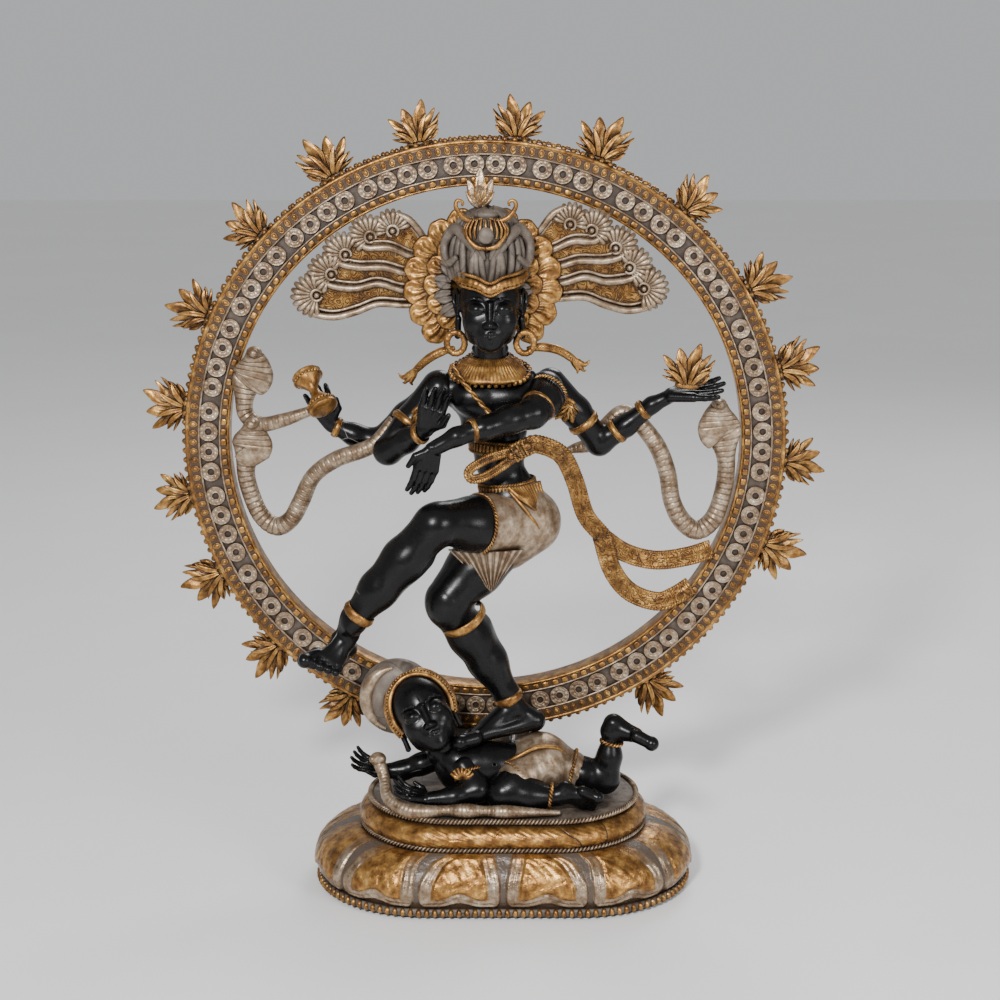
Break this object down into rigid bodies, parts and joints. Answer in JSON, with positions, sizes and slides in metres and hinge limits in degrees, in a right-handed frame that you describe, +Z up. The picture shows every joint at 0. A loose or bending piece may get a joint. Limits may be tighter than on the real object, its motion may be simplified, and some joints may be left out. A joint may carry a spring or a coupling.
{
  "type": "nataraja statue",
  "caption": "Free-standing statue of a four-armed dancer on a reclining dwarf and oval lotus pedestal, framed by an upright ring of flames.",
  "frame": {"origin": "centre of the pedestal's flat underside", "axes": "+Z up, +X to the viewer's right, and the dancer faces -Y"},
  "size_m": [1.0812, 0.3684, 1.2352],
  "materials": {
    "gold_leaf": "antiqued gold leaf over cast resin, dark brown in the recesses",
    "silver_leaf": "champagne silver leaf over cast resin, brown in the recesses",
    "black_skin": "satin black paint with worn edges and fine cracks",
    "taupe_wash": "matte taupe-brown wash",
    "steel": "plain zinc-plated steel, hidden"
  },
  "bodies": {
    "root": {"plinth_moulding": "gold_leaf", "pedestal_bead_strip": "gold_leaf", "lotus_tier": "gold_leaf", "ring_hoop": "gold_leaf", "ring_rim_inner": "gold_leaf", "ring_rim_outer": "gold_leaf", "ring_flames": "gold_leaf", "earrings": "gold_leaf", "dwarf_armlet": "gold_leaf", "dwarf_anklets": "gold_leaf", "belt": "gold_leaf", "waist_band": "gold_leaf", "necklace": "gold_leaf", "sacred_thread": "gold_leaf", "tiara_band": "gold_leaf", "crown_ornament": "gold_leaf", "halo_petals": "gold_leaf", "hair_wing_left": "gold_leaf", "hair_wing_right": "gold_leaf", "shoulder_scroll_left": "gold_leaf", "shoulder_scroll_right": "gold_leaf", "armlets": "gold_leaf", "bracelets": "gold_leaf", "leg_bands": "gold_leaf", "drum": "gold_leaf", "hand_flame": "gold_leaf", "sash": "gold_leaf", "dwarf_headdress": "gold_leaf", "ring_rosettes": "silver_leaf", "lower_rope": "silver_leaf", "upper_rope": "silver_leaf", "cobra_right": "silver_leaf", "cobra_upper_left": "silver_leaf", "cobra_lower_left": "silver_leaf", "dwarf_cobra": "silver_leaf", "shorts": "silver_leaf", "loin_flap": "silver_leaf", "dwarf_loincloth": "silver_leaf", "crown_feather": "silver_leaf", "head": "black_skin", "torso": "black_skin", "raised_leg": "black_skin", "standing_leg": "black_skin", "blessing_arm": "black_skin", "crossing_arm": "black_skin", "drum_arm": "black_skin", "flame_arm": "black_skin", "dwarf_body": "black_skin", "dwarf_head": "black_skin", "dwarf_near_arm": "black_skin", "dwarf_far_arm": "black_skin", "dwarf_near_leg": "black_skin", "dwarf_far_leg": "black_skin", "deck_plate": "taupe_wash", "base_plate": "taupe_wash", "ring_saddle": "taupe_wash", "hair_crown": "taupe_wash", "figure_tie_rod": "steel", "tie_rod_nut": "steel", "saddle_bolts": "steel"}
  },
  "joints": []
}
